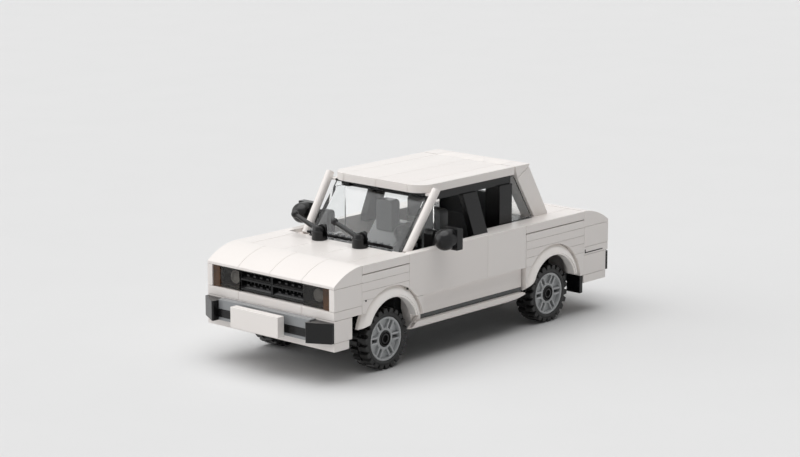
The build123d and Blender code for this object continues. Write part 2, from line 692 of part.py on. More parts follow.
def tyre(axle_s, sign):
    y = sign * (WHEEL_FACE_Y - TYRE_WIDTH / 2)
    return Pos(NOSE_X - axle_s, y, TYRE_R) * Rot(90, 0, 0) * PLAIN_TYRE


def hood_panels():
    """Flat hood tiles behind the curved panels, two columns at each side."""
    pieces = []
    for y0, y1 in ((-SIDE_IN, -STUD), (-STUD, STUD), (STUD, SIDE_IN)):
        pieces.append(box(NOSE_CURVE + SEAM, HOOD_END, y0 + SEAM / 2, y1 - SEAM / 2, BELT_Z, DECK_Z))
    return pieces


def boot_panels():
    pieces = []
    for y0, y1 in ((-SIDE_IN, 0), (0, SIDE_IN)):
        end_s = BODY_LENGTH - TAIL_CURVE - SEAM
        panel = box(REAR_WALL, end_s, y0 + SEAM / 2, y1 - SEAM / 2, BELT_Z, DECK_Z)
        pieces.append(panel)
    return pieces


def mudflap():
    return box(140.2, 142.0, 25.0, 31.6, 8.9, APRON_Z - 0.05)


os.makedirs("parts", exist_ok=True)

PLAIN_TYRE = plain_tyre()

save("chassis_plate", chassis_plate())
save("axle_blocks", axle_blocks())
save("front_inner_bricks", inner_bricks(NOSE_CURVE, HOOD_END))
save("rear_inner_bricks", inner_bricks(REAR_WALL, BODY_LENGTH - TAIL_CURVE - SEAM))
save("valances", [valance(7.6), turned(valance(TAIL_APRON), TAIL_STEP)])
save("aprons", [apron(9.2), turned(apron(TAIL_APRON), TAIL_STEP)])
save("bumper_bars", [bumper_bar(), turned(bumper_bar(), TAIL_STEP)])
save("bumper_strips", [bumper_strip(), turned(bumper_strip(), TAIL_STEP)])
corners = both(bumper_corner())
save("bumper_corners", corners + [turned(corner, TAIL_STEP) for corner in corners])
stem_end = -BUMPER_DEPTH - 0.32
save("number_plates", [number_plate(stem_end), turned(number_plate(stem_end + TAIL_STEP))])
save("nose_frame", end_frame(NOSE_CURVE))
save("tail_frame", [turned(piece) for piece in end_frame(TAIL_CURVE)])
save("grille", grille())
save("headlamps", both(lamp_block(16.0, 25.9, 0.7)))
save("indicators", both(lamp_block(25.95, 29.45, 0.5)))
save("tail_lamps", [turned(lamp) for lamp in both(lamp_block(17.6, 29.45, 0.7))])
save("tail_panel", turned(lamp_block(-17.55, 17.55, 0.5)))
save("hood_curves", curved_panels(NOSE_CURVE))
save("boot_curves", [turned(piece) for piece in curved_panels(TAIL_CURVE)])
save("hood_panels", hood_panels())
save("boot_panels", boot_panels())
save("cowl", cowl())
save("front_fenders", both(front_fender()))
save("rear_quarters", both(rear_quarter()))
front_belts = both(belt(NOSE_CURVE + SEAM, DOOR_START - SEAM))
rear_belts = both(belt(DOOR_END + SEAM, BODY_LENGTH - TAIL_CURVE - SEAM))
save("belt_rails", front_belts + rear_belts)
arches = [wheel_arch(FRONT_ARCH, FRONT_ARCH_FEET), wheel_arch(REAR_ARCH, REAR_ARCH_FEET)]
save("wheel_arches", both(arches))
save("front_doors", both(front_door()))
save("rear_doors", both(rear_door()))
save("door_ledges", both(door_ledge()))
save("lower_panels", both([lower_panel(), sill_post()]))
save("sill_plates", both(sill_plate()))
save("sill_bars", both(sill_bar()))
save("mudflaps", both(mudflap()))
save("roof_panels", roof_panels())
save("roof_frame", roof_frame())
save("a_pillars", both(a_pillar()))
save("windscreen", windscreen())
save("middle_pillars", both(middle_pillar()))
save("window_columns", both(window_column()))
save("quarter_panes", both(quarter_pane()))
save("corner_posts", both(corner_post()))
save("rear_window", rear_window())
save("front_seats", [seat(SEAT_Y), seat(-SEAT_Y)])
save("rear_bench", rear_bench())
save("parcel_shelf", parcel_shelf())
save("dashboard", dashboard())
save("steering_wheel", steering_wheel())
save("wiper_bases", [wiper_base(y) for y in WIPER_Y])
save("wiper_levers", [wiper_lever(y) for y in WIPER_Y])
save("door_mirrors", both(door_mirror()))
for end, axle_s in (("front", FRONT_AXLE), ("rear", REAR_AXLE)):
    save(f"{end}_axle", axle(axle_s))
    for side, sign in (("left", 1), ("right", -1)):
        save(f"{end}_{side}_rim", rim(axle_s, sign))
        save(f"{end}_{side}_tyre", tyre(axle_s, sign))
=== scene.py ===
import json
import math

import bmesh
import bpy
from mathutils import Matrix, Vector


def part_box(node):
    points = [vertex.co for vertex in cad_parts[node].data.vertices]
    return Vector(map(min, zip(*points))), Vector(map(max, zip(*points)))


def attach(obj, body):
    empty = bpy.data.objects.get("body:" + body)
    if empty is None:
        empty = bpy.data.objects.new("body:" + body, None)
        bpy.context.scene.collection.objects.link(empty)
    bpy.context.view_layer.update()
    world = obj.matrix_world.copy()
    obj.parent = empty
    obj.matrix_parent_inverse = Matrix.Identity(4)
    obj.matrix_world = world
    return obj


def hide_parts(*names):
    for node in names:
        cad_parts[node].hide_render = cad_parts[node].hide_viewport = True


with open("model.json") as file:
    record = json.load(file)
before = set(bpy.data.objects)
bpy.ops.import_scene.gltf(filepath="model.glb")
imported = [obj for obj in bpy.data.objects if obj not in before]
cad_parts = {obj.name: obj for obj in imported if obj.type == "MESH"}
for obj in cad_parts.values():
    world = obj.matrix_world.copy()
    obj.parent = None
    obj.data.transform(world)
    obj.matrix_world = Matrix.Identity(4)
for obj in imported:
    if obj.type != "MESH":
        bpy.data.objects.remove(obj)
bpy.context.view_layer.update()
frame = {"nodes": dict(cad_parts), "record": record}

MM = 0.001


# --- shader nodes ---------------------------------------------------------------------------------

# Sizes of what varies over a moulding, in millimetres.
CLOUD_SIZE = 30         # the slow drift of a shade across bricks
HAZE_SIZE = 12          # duller and glossier patches, left by handling
CLEAR_HAZE_SIZE = 4     # the same on a clear piece, which shows smaller ones
HAIRLINE_SIZE = 0.5     # real ones are a few hundredths wide; these are coarser, to show
SKIN_DEPTH = 0.05       # the unevenness that a polished mould leaves
CLEAR_SKIN_DEPTH = 0.1

# A noise's values mostly lie between these two.
NOISE_LOW, NOISE_HIGH = 0.3, 0.7


def linear(hex_colour):
    """An sRGB hex colour as the linear RGBA that shaders take."""
    channels = [int(hex_colour[i:i + 2], 16) / 255 for i in (1, 3, 5)]
    return [c / 12.92 if c <= 0.04045 else ((c + 0.055) / 1.055) ** 2.4 for c in channels] + [1.0]


def per_metre(size_mm):
    """A pattern's scale for features of that size."""
    return 1000 / size_mm


def add_node(tree, kind, inputs=None, **settings):
    """Adds a node. An input given another node's output is linked to it, and any other is set."""
    node = tree.nodes.new(kind)
    for name, value in settings.items():
        setattr(node, name, value)
    for name, value in (inputs or {}).items():
        if isinstance(value, bpy.types.NodeSocket):
            tree.links.new(value, node.inputs[name])
        else:
            node.inputs[name].default_value = value
    return node


def new_material(name):
    """An empty node material with its Principled shader, and the piece's own coordinates."""
    material = bpy.data.materials.new(name)
    material.use_nodes = True
    tree = material.node_tree
    shader = tree.nodes["Principled BSDF"]
    place = add_node(tree, "ShaderNodeTexCoord").outputs["Object"]
    return material, tree, shader, place


def shot_colour(tree, place, pale, deep):
    """A colour between two near shades, because bricks come from shots that differ a little."""
    shot = add_node(tree, "ShaderNodeNewGeometry").outputs["Random Per Island"]
    cloud = add_node(
        tree, "ShaderNodeTexNoise", {"Vector": place, "Scale": per_metre(CLOUD_SIZE), "Detail": 0.0}
    )
    both = add_node(tree, "ShaderNodeMath", {0: cloud.outputs["Fac"], 1: shot}, operation="ADD")
    share = add_node(
        tree, "ShaderNodeMapRange", {"Value": both.outputs[0], "From Min": 0.35, "From Max": 1.65}
    )
    colour = add_node(
        tree, "ShaderNodeMixRGB",
        {"Fac": share.outputs["Result"], "Color1": linear(pale), "Color2": linear(deep)},
    )
    return colour.outputs["Color"]


def worn_gloss(tree, place, roughness, wear):
    """A roughness with the haze of handling and, where there is wear, with fine hairlines."""
    haze = add_node(
        tree, "ShaderNodeTexNoise", {"Vector": place, "Scale": per_metre(HAZE_SIZE), "Detail": 0.0}
    )
    hazy = add_node(
        tree, "ShaderNodeMapRange",
        {
            "Value": haze.outputs["Fac"], "From Min": NOISE_LOW, "From Max": NOISE_HIGH,
            "To Min": roughness * 0.96, "To Max": roughness * 1.08,
        },
    )
    if not wear:
        return hazy.outputs["Result"]
    drawn_out = add_node(
        tree, "ShaderNodeMapping",
        {"Vector": place, "Rotation": (0.5, 0.3, 0.8), "Scale": (0.08, 1.0, 1.0)},
    )
    hairline = add_node(
        tree, "ShaderNodeTexNoise",
        {"Vector": drawn_out.outputs["Vector"], "Scale": per_metre(HAIRLINE_SIZE), "Detail": 3.0},
    )
    # Only the noise's peaks count, which leaves thin lines apart from each other.
    thin = add_node(
        tree, "ShaderNodeMapRange",
        {
            "Value": hairline.outputs["Fac"], "From Min": 0.66, "From Max": 0.74,
            "To Min": 0.0, "To Max": wear,
        },
    )
    worn = add_node(
        tree, "ShaderNodeMath", {0: thin.outputs["Result"], 1: hazy.outputs["Result"]},
        operation="ADD",
    )
    return worn.outputs[0]


def moulded(name, pale, deep, roughness, wear, ior=1.53, grain=0.02, grain_size=3.0):
    """An opaque moulding, with the skin that its mould gives it and the marks of play."""
    material, tree, shader, place = new_material(name)
    skin = add_node(
        tree, "ShaderNodeTexNoise", {"Vector": place, "Scale": per_metre(grain_size), "Detail": 1.0}
    )
    bump = add_node(
        tree, "ShaderNodeBump",
        {"Height": skin.outputs["Fac"], "Strength": grain, "Distance": SKIN_DEPTH * MM},
    )
    tree.links.new(shot_colour(tree, place, pale, deep), shader.inputs["Base Color"])
    tree.links.new(worn_gloss(tree, place, roughness, wear), shader.inputs["Roughness"])
    tree.links.new(bump.outputs["Normal"], shader.inputs["Normal"])
    shader.inputs["IOR"].default_value = ior
    return material


def clear(name, tint, deep, roughness, ior=1.49, through=1.0):
    """A transparent moulding, with the faint haze of a used one."""
    material, tree, shader, place = new_material(name)
    haze = add_node(
        tree, "ShaderNodeTexNoise",
        {"Vector": place, "Scale": per_metre(CLEAR_HAZE_SIZE), "Detail": 3.0},
    )
    share = add_node(
        tree, "ShaderNodeMapRange",
        {"Value": haze.outputs["Fac"], "From Min": NOISE_LOW, "From Max": NOISE_HIGH},
    )
    colour = add_node(
        tree, "ShaderNodeMixRGB",
        {"Fac": share.outputs["Result"], "Color1": linear(tint), "Color2": linear(deep)},
    )
    hazy = add_node(
        tree, "ShaderNodeMapRange",
        {
            "Value": haze.outputs["Fac"], "From Min": NOISE_LOW, "From Max": NOISE_HIGH,
            "To Min": roughness * 0.6, "To Max": roughness * 1.5,
        },
    )
    bump = add_node(
        tree, "ShaderNodeBump",
        {"Height": haze.outputs["Fac"], "Strength": 0.02, "Distance": CLEAR_SKIN_DEPTH * MM},
    )
    tree.links.new(colour.outputs["Color"], shader.inputs["Base Color"])
    tree.links.new(hazy.outputs["Result"], shader.inputs["Roughness"])
    tree.links.new(bump.outputs["Normal"], shader.inputs["Normal"])
    shader.inputs["Transmission Weight"].default_value = through
    shader.inputs["IOR"].default_value = ior
    return material


# The record's slots, and four shades that a few pieces have instead of their slot's: a whiter
# white with painted light for the wheel arches, a near black with painted shade for the floors
# of the axles' ends, a paler grey for the rims and another for the front seats.
MATERIALS = {
    # Warm white ABS from a polished mould: clean, with a soft gloss.
    "white_plastic": moulded("warm_white_abs", "#F3EEEA", "#F0EAE6", 0.24, 0.0),
    # The wheel arches' white is a little brighter than the rest: painted light, for the light
    # that falls on their upturned bands.
    "lit_arch_white": moulded("arch_white_painted_light", "#FFFBF7", "#FDF8F3", 0.24, 0.0),
    # Black ABS from a polished mould: it mirrors the room faintly and shows every hairline.
    "black_plastic": moulded("black_abs", "#0D0D0E", "#151516", 0.22, 0.06, ior=1.4),
    # Near black and dull ABS: painted shade on the shallow floor at an axle's end, so that it
    # reads as a deep bore.
    "bore_shade_black": moulded("bore_painted_shade", "#040404", "#060606", 0.8, 0.0, ior=1.2),
    # Dark grey ABS from a polished mould, glossy, with fine hairlines.
    "dark_grey_plastic": moulded("dark_grey_abs", "#434546", "#4C4E4F", 0.22, 0.06),
    # Light grey ABS from a polished mould, on which hairlines show less.
    "light_grey_plastic": moulded("light_grey_abs", "#9A9C9E", "#909294", 0.24, 0.04),
    # The rims are a paler grey than the bumper bars, and the front seats than the chassis.
    "rim_grey": moulded("rim_grey_abs", "#BABCBD", "#AEB0B1", 0.24, 0.04),
    "cabin_grey": moulded("cabin_grey_abs", "#67696A", "#5F6162", 0.22, 0.04),
    # Moulded black rubber: dull, with the grain of an unpolished mould. Its real grain is about
    # a tenth of a millimetre; this is coarser, to show.
    "tyre_rubber": moulded(
        "black_rubber", "#151515", "#1E1E1D", 0.48, 0.0, ior=1.5, grain=0.3, grain_size=0.5
    ),
    # Clear polycarbonate, moulded thin: nearly colourless, with sharp reflections.
    "clear_plastic": clear("clear_polycarbonate", "#FCFDFD", "#F4F6F6", 0.015, ior=1.38),
    # Smoked polycarbonate: it dims the reflector behind it.
    "smoked_lamp": clear("smoked_polycarbonate", "#D6D2CC", "#C6C2BC", 0.03, ior=1.3),
    # Amber and red polycarbonate: clouded, so that they show a colour of their own unlit.
    "orange_lamp": clear("amber_polycarbonate", "#8E5A22", "#5E3812", 0.08, through=0.7),
    "red_lamp": clear("red_polycarbonate", "#B01818", "#8A0E10", 0.05, through=0.7),
    # The tail panel's black ABS: a broad glossy face, with hairlines that catch the light.
    "tail_dark": moulded("tail_black_abs", "#0F0F10", "#171718", 0.2, 0.08),
}


# --- pieces ---------------------------------------------------------------------------------------

SLOT_OF = {part["node"]: part["material_slot"] for part in frame["record"]["subparts"]}
BODY_OF = {n: b for b, names in frame["record"]["behaviour"]["bodies"].items() for n in names}

# The CAD nodes that have another shade than their slot's. The roof frame and the cowl are black
# as painted shade: the shade under the roof's edge and at the windscreen's foot. The wheel
# arches are whiter as painted light.
SHADE_OF = {
    "roof_frame": "black_plastic",
    "cowl": "black_plastic",
    "wheel_arches": "lit_arch_white",
    "front_seats": "cabin_grey",
}

EDGE_ROUND = 0.12                       # millimetres, the round along a moulding's edges
EDGE_ROOM = 2.2                         # an edge shorter than this many rounds stays sharp
SHARP_ANGLE = math.radians(28)          # edges flatter than this are part of a curve
SMOOTH_ANGLE = math.radians(40)         # edges sharper than this are shaded as edges
FLAT_ANGLE = math.radians(0.5)          # faces this near to one plane are joined
CAD_DOUBLES = 0.002                     # millimetres between corners that are one
SEAM_DOUBLES = 0.0005                   # the same, where a turned shape meets itself


def link(name, data):
    """A new object of that mesh, lamp or camera, in the scene."""
    thing = bpy.data.objects.new(name, data)
    bpy.context.scene.collection.objects.link(thing)
    return thing


def evaluated_mesh(piece):
    """The piece's mesh as its modifiers leave it, with no modifier left."""
    graph = bpy.context.evaluated_depsgraph_get()
    mesh = bpy.data.meshes.new_from_object(piece.evaluated_get(graph))
    piece.modifiers.clear()
    return mesh


def as_piece(bm, name, slot, body, shade=None):
    """A piece at the origin from a bmesh in metres, in its slot's finish or in another shade."""
    mesh = bpy.data.meshes.new(name)
    bm.to_mesh(mesh)
    bm.free()
    for face in mesh.polygons:
        face.use_smooth = True
    mesh.set_sharp_from_angle(angle=SMOOTH_ANGLE)
    mesh.materials.append(MATERIALS[shade or slot])
    piece = link(name, mesh)
    # Broad flat faces keep their own normals, so only the rounded edges are shaded round.
    weighting = piece.modifiers.new("weighting", "WEIGHTED_NORMAL")
    weighting.keep_sharp = True
    weighting.weight = 100
    piece.data = evaluated_mesh(piece)
    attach(piece, body)
    return piece


def round_edges(bm, edges, width, **settings):
    """Gives edges a small round."""
    bmesh.ops.bevel(
        bm, geom=edges, offset=width, offset_type="OFFSET", segments=2, profile=0.5,
        affect="EDGES", **settings,
    )


def merged(node):
    """A CAD node's mesh with its doubles merged and its flat faces joined."""
    bm = bmesh.new()
    bm.from_mesh(frame["nodes"][node].data)
    bmesh.ops.remove_doubles(bm, verts=bm.verts, dist=CAD_DOUBLES * MM)
    bmesh.ops.dissolve_limit(bm, angle_limit=FLAT_ANGLE, verts=bm.verts, edges=bm.edges)
    return bm


def soften(bm, width):
    """Rounds the sharp edges of a mesh, but not beside edges too short to carry it."""
    short = {v for e in bm.edges if e.calc_length() < EDGE_ROOM * width for v in e.verts}
    sharp = [
        e for e in bm.edges
        if e.is_manifold and e.calc_face_angle() > SHARP_ANGLE
        and not (e.verts[0] in short or e.verts[1] in short)
    ]
    round_edges(bm, sharp, width, clamp_overlap=False, loop_slide=True)


def moulding(node):
    """Stands for a CAD node with the small rounded edges that a moulding has."""
    bm = merged(node)
    soften(bm, EDGE_ROUND * MM)
    low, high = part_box(node)
    for vert in bm.verts:
        vert.co = Vector(min(max(c, l), h) for c, l, h in zip(vert.co, low, high))
    piece = as_piece(bm, node + "_moulding", SLOT_OF[node], BODY_OF[node], SHADE_OF.get(node))
    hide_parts(node)


# --- shapes, in millimetres -----------------------------------------------------------------------

def add_block(bm, low, high, round_off=EDGE_ROUND):
    """A brick between two corners, with rounded edges."""
    size = [h - l for l, h in zip(low, high)]
    middle = [(h + l) / 2 for l, h in zip(low, high)]
    place = Matrix.Translation(middle) @ Matrix.Diagonal((*size, 1.0))
    verts = bmesh.ops.create_cube(bm, size=1.0, matrix=place)["verts"]
    edges = {edge for vert in verts for edge in vert.link_edges}
    round_edges(bm, list(edges), round_off, clamp_overlap=True)


def add_lathe(bm, profile, steps, closed=True):
    """A profile of (radius, height) points turned about the Z axis."""
    verts = [bm.verts.new((r, 0.0, z)) for r, z in profile]
    pairs = list(zip(verts, verts[1:]))
    if closed:
        pairs.append((verts[-1], verts[0]))
    edges = [bm.edges.new(pair) for pair in pairs]
    before = set(bm.faces)
    bmesh.ops.spin(
        bm, geom=verts + edges, cent=(0, 0, 0), axis=(0, 0, 1), angle=2 * math.pi, steps=steps,
    )
    bmesh.ops.remove_doubles(bm, verts=bm.verts, dist=SEAM_DOUBLES)
    bmesh.ops.recalc_face_normals(bm, faces=[face for face in bm.faces if face not in before])


def add_prism(bm, outline, depth, round_off=0.0):
    """A closed outline of (x, y) points pulled up along Z."""
    low = [bm.verts.new((x, y, 0.0)) for x, y in outline]
    high = [bm.verts.new((x, y, depth)) for x, y in outline]
    faces = [bm.faces.new(low), bm.faces.new(high)]
    for index in range(len(outline)):
        after = (index + 1) % len(outline)
        faces.append(bm.faces.new((low[index], low[after], high[after], high[index])))
    bmesh.ops.recalc_face_normals(bm, faces=faces)
    if round_off:
        edges = {edge for vert in low + high for edge in vert.link_edges}
        round_edges(bm, list(edges), round_off, clamp_overlap=True)


def add_copy(bm, other, matrix=None):
    """Adds another bmesh, moved by a matrix, and frees it."""
    if matrix is not None:
        bmesh.ops.transform(other, matrix=matrix, verts=other.verts)
    mesh = bpy.data.meshes.new("part")
    other.to_mesh(mesh)
    other.free()
    bm.from_mesh(mesh)
    bpy.data.meshes.remove(mesh)


# --- repeats --------------------------------------------------------------------------------------

def new_tree(name, sockets):
    """An empty geometry tree whose named inputs are given with their kinds."""
    tree = bpy.data.node_groups.new(name, "GeometryNodeTree")
    for label, kind in sockets:
        tree.interface.new_socket(label, in_out="INPUT", socket_type="NodeSocket" + kind)
    tree.interface.new_socket("Geometry", in_out="OUTPUT", socket_type="NodeSocketGeometry")
    given = tree.nodes.new("NodeGroupInput").outputs
    return tree, given


def finish_tree(tree, given, instances):
    """Realizes the instances and gives them their finish."""
    real = add_node(tree, "GeometryNodeRealizeInstances", {"Geometry": instances})
    finished = add_node(
        tree, "GeometryNodeSetMaterial",
        {"Geometry": real.outputs["Geometry"], "Material": given["Finish"]},
    )
    add_node(tree, "NodeGroupOutput", {"Geometry": finished.outputs["Geometry"]})
    return tree


def ring_tree():
    """Copies of a piece turned evenly about the Z axis."""
    sockets = (("Piece", "Object"), ("Count", "Int"), ("Turn", "Float"), ("Finish", "Material"))
    tree, given = new_tree("ring_of_pieces", sockets)
    spots = add_node(tree, "GeometryNodeMeshCircle", {"Vertices": given["Count"], "Radius": 0.0})
    index = add_node(tree, "GeometryNodeInputIndex")
    share = add_node(
        tree, "ShaderNodeMath", {0: index.outputs["Index"], 1: given["Count"]}, operation="DIVIDE"
    )
    angle = add_node(
        tree, "ShaderNodeMath", {0: share.outputs[0], 1: 2 * math.pi, 2: given["Turn"]},
        operation="MULTIPLY_ADD",
    )
    turn = add_node(tree, "ShaderNodeCombineXYZ", {"Z": angle.outputs[0]})
    source = add_node(tree, "GeometryNodeObjectInfo", {"Object": given["Piece"]})
    copies = add_node(
        tree, "GeometryNodeInstanceOnPoints",
        {
            "Points": spots.outputs["Mesh"],
            "Instance": source.outputs["Geometry"],
            "Rotation": turn.outputs["Vector"],
        },
    )
    return finish_tree(tree, given, copies.outputs["Instances"])


def row_tree():
    """Copies of a piece along a straight line."""
    sockets = (("Piece", "Object"), ("Count", "Int"), ("Step", "Vector"), ("Finish", "Material"))
    tree, given = new_tree("row_of_pieces", sockets)
    spots = add_node(
        tree, "GeometryNodeMeshLine", {"Count": given["Count"], "Offset": given["Step"]}
    )
    source = add_node(tree, "GeometryNodeObjectInfo", {"Object": given["Piece"]})
    copies = add_node(
        tree, "GeometryNodeInstanceOnPoints",
        {"Points": spots.outputs["Mesh"], "Instance": source.outputs["Geometry"]},
    )
    return finish_tree(tree, given, copies.outputs["Instances"])


RING = ring_tree()
ROW = row_tree()


def repeated(tree, seed, slot, **values):
    """The bmesh of a small bmesh repeated by a tree; the values are its named inputs."""
    mesh = bpy.data.meshes.new("seed")
    seed.to_mesh(mesh)
    seed.free()
    source = link("seed", mesh)
    carrier = link("carrier", bpy.data.meshes.new("carrier"))
    modifier = carrier.modifiers.new("repeat", "NODES")
    modifier.node_group = tree
    values.update(Piece=source, Finish=MATERIALS[slot])
    for item in tree.interface.items_tree:
        if item.in_out == "INPUT":
            modifier[item.identifier] = values[item.name]
    result = evaluated_mesh(carrier)
    bm = bmesh.new()
    bm.from_mesh(result)
    for leftover in (carrier, source):
        bpy.data.objects.remove(leftover)
    return bm


# --- wheels ---------------------------------------------------------------------------------------
# A wheel is made about the Z axis in millimetres, its outer face at height 0 and its depth below.

AXLE_Z = 11.4
WHEEL_FACE_Y = 29.2

TYRE_R = 11.38
TYRE_WIDTH = 8.0
TREAD_R = 10.0                          # the carcass between the lugs
LUGS = 22
LUG_TURN = math.radians(2.0)            # how far each row of lugs is turned from even
LUG_TOP, LUG_FOOT = 0.26, 0.36          # half widths, as shares of the pitch
LUG_ROUND = 0.14

SPOKE_PAIRS = 6
SPOKE_APART = 1.05                      # from a pair's middle line to each spoke's
SPOKE_HALF = 0.42                       # half a spoke's width
SPOKE_CLEAR = 1.3                       # from a pair's middle line to the sunk panel
PANEL_IN, PANEL_OUT = 3.9, 7.4          # the sunk panel's radii
PANEL_DEPTH, PANEL_THICK = 2.7, 0.9

# Profiles as (radius, height). The carcass's is half of it, from the rim to the middle band.
CARCASS = (
    (8.24, -0.55), (8.3, -0.3), (8.55, -0.12), (9.1, -0.05), (9.6, -0.12), (9.9, -0.35),
    (TREAD_R, -0.8), (TREAD_R, -3.4), (10.7, -3.65),
)
RIM_BARREL = (
    (8.2, -0.6), (8.12, -0.38), (7.9, -0.3), (7.55, -0.34), (7.35, -0.55), (7.28, -1.6),
    (7.2, -5.6), (7.2, -7.5), (7.5, -7.7), (8.2, -7.7),
)
HUB_RING = ((3.03, -6.2), (3.03, -0.95), (3.2, -0.8), (3.85, -0.8), (4.05, -0.95), (4.05, -6.2))
RIM_WEB = ((3.6, -6.0), (3.6, -5.3), (7.3, -5.3), (7.3, -6.0))
COLLAR = ((2.95, -1.25), (2.95, -0.75), (2.75, -0.6), (2.45, -0.6), (2.3, -0.9), (2.3, -1.25))
AXLE_END = ((1.95, -1.25), (1.95, -0.7), (1.8, -0.6), (1.3, -0.6), (1.2, -0.75), (1.2, -1.25))
BORE_FLOOR = ((0.0, -1.2), (0.0, -0.96), (2.3, -0.96), (2.3, -1.2))


def wheel_place(node, sign):
    """From the wheel's own frame, in millimetres, to the car's, in metres."""
    low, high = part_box(node)
    hub_x = (low[0] + high[0]) / 2
    axes = Matrix(((1, 0, 0), (0, 0, sign), (0, -sign, 0))).to_4x4()
    hub = Matrix.Translation((hub_x, sign * WHEEL_FACE_Y * MM, AXLE_Z * MM))
    return hub @ axes @ Matrix.Scale(MM, 4)


def lug():
    """One block of the tread, from the sidewall to the middle of the tyre."""
    bm = bmesh.new()
    pitch = 2 * math.pi * TYRE_R / LUGS
    top, foot = pitch * LUG_TOP, pitch * LUG_FOOT
    ends = (
        # height, radius of the top, half width of the top, radius of the foot
        (-0.05, 11.1, top * 0.94, 9.75),
        (-0.5, TYRE_R, top, 9.6),
        (-TYRE_WIDTH / 2 + 0.25, TYRE_R, top * 0.92, 9.8),
    )
    rings = []
    for height, top_r, half, foot_r in ends:
        corners = ((foot_r, -foot), (top_r, -half), (top_r, half), (foot_r, foot))
        rings.append([bm.verts.new((r, t, height)) for r, t in corners])
    for first, second in zip(rings, rings[1:]):
        for index in range(4):
            after = (index + 1) % 4
            bm.faces.new((first[index], first[after], second[after], second[index]))
    bm.faces.new(rings[0])
    bm.faces.new(rings[-1])
    bmesh.ops.recalc_face_normals(bm, faces=bm.faces)
    round_edges(bm, bm.edges[:], LUG_ROUND, clamp_overlap=True)
    return bm


def tyre(node, sign):
    """A carcass with a raised band round its middle and two staggered rows of lugs."""
    bm = bmesh.new()
    other_half = [(r, -TYRE_WIDTH - z) for r, z in reversed(CARCASS)]
    add_lathe(bm, list(CARCASS) + other_half, steps=88)
    outer_turn = LUG_TURN + math.pi / LUGS
    outer = repeated(RING, lug(), "tyre_rubber", Count=LUGS, Turn=outer_turn)
    inner = repeated(RING, lug(), "tyre_rubber", Count=LUGS, Turn=-LUG_TURN)
    add_copy(bm, outer)
    flip = Matrix.Translation((0, 0, -TYRE_WIDTH)) @ Matrix.Rotation(math.pi, 4, "X")
    add_copy(bm, inner, flip)
    bmesh.ops.transform(bm, matrix=wheel_place(node, sign), verts=bm.verts)
    piece = as_piece(bm, node + "_rubber", "tyre_rubber", BODY_OF[node])
    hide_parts(node)


def panel_outline(steps=6):
    """The sunk panel between two pairs of spokes: two arcs that keep clear of the spokes."""
    outline = []
    for radius, backwards in ((PANEL_IN, False), (PANEL_OUT, True)):
        clear_angle = math.asin(SPOKE_CLEAR / radius)
        first, last = clear_angle, 2 * math.pi / SPOKE_PAIRS - clear_angle
        arc = [first + (last - first) * k / steps for k in range(steps + 1)]
        if backwards:
            arc.reverse()
        outline += [(radius * math.cos(a), radius * math.sin(a)) for a in arc]
    return outline


def spoke_pair():
    """Two spokes with an open slot between them, and the sunk panel beside them."""
    bm = bmesh.new()
    for middle in (-SPOKE_APART, SPOKE_APART):
        low = (3.75, middle - SPOKE_HALF, -2.3)
        high = (7.5, middle + SPOKE_HALF, -0.75)
        add_block(bm, low, high, 0.14)
    panel = bmesh.new()
    add_prism(panel, panel_outline(), PANEL_THICK)
    add_copy(bm, panel, Matrix.Translation((0, 0, -PANEL_DEPTH)))
    return bm


def rim(node, sign):
    """A rim with a rolled edge, six pairs of spokes and a hub ring."""
    bm = bmesh.new()
    add_lathe(bm, RIM_BARREL, steps=72)
    add_lathe(bm, HUB_RING, steps=48)
    add_lathe(bm, RIM_WEB, steps=48)
    add_copy(bm, repeated(RING, spoke_pair(), "light_grey_plastic", Count=SPOKE_PAIRS, Turn=0.0))
    bmesh.ops.transform(bm, matrix=wheel_place(node, sign), verts=bm.verts)
    piece = as_piece(bm, node + "_wheel", "light_grey_plastic", BODY_OF[node], "rim_grey")
    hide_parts(node)


def hub_end(node, axle, sign):
    """The collar at an axle's end, the axle's hollow end in it, and a floor of painted shade
    behind.
    """
    bm = bmesh.new()
    add_lathe(bm, COLLAR, steps=40)
    add_lathe(bm, AXLE_END, steps=32)
    bmesh.ops.transform(bm, matrix=wheel_place(node, sign), verts=bm.verts)
    as_piece(bm, node + "_hub_end", "black_plastic", BODY_OF[axle])
    # A near black floor: painted shade that makes the axle's end read as a deep bore.
    bore = bmesh.new()
    add_lathe(bore, BORE_FLOOR, steps=32, closed=False)
    bmesh.ops.transform(bore, matrix=wheel_place(node, sign), verts=bore.verts)
    as_piece(bore, node + "_bore", "black_plastic", BODY_OF[axle], "bore_shade_black")


WHEELS = [
    (f"{end}_{side}", f"{end}_axle", sign)
    for end in ("front", "rear") for side, sign in (("left", 1), ("right", -1))
]
for wheel, axle, sign in WHEELS:
    tyre(wheel + "_tyre", sign)
    rim(wheel + "_rim", sign)
    hub_end(wheel + "_rim", axle, sign)


# --- nose: grille and lamps -----------------------------------------------------------------------

ALONG_Y = Matrix(((1, 0, 0), (0, 0, 1), (0, 1, 0))).to_4x4()     # a prism's depth runs along Y

# A slat from the side, as (x, z) from its front lower edge: a lip, and a slope up to the back.
SLAT = (
    (0.0, 0.0), (0.0, 0.6), (-0.25, 0.72), (-1.8, 2.3), (-3.4, 2.6), (-3.4, 1.8), (-0.7, 0.0),
)
SLATS, SLAT_STEP = 2, (0.0, 0.0, 3.62)
RIBS, RIB_STEP = 8, (0.0, 1.9, 0.0)
WEBS, WEB_STEP = 4, (0.0, 3.3, 0.0)
SLAT_FOOT = 0.55                        # from the grille's lower edge up to the first slat
SET_BACK = 0.15                         # from the grille's front to the slats' and the top bar's
MIDDLE_GAP = 0.07                       # from the middle line to each half of the grille
TOP_BAR = 0.6                           # the height of the bar above the slats
END_BAR = 0.45                          # the width of the bars at a half's ends

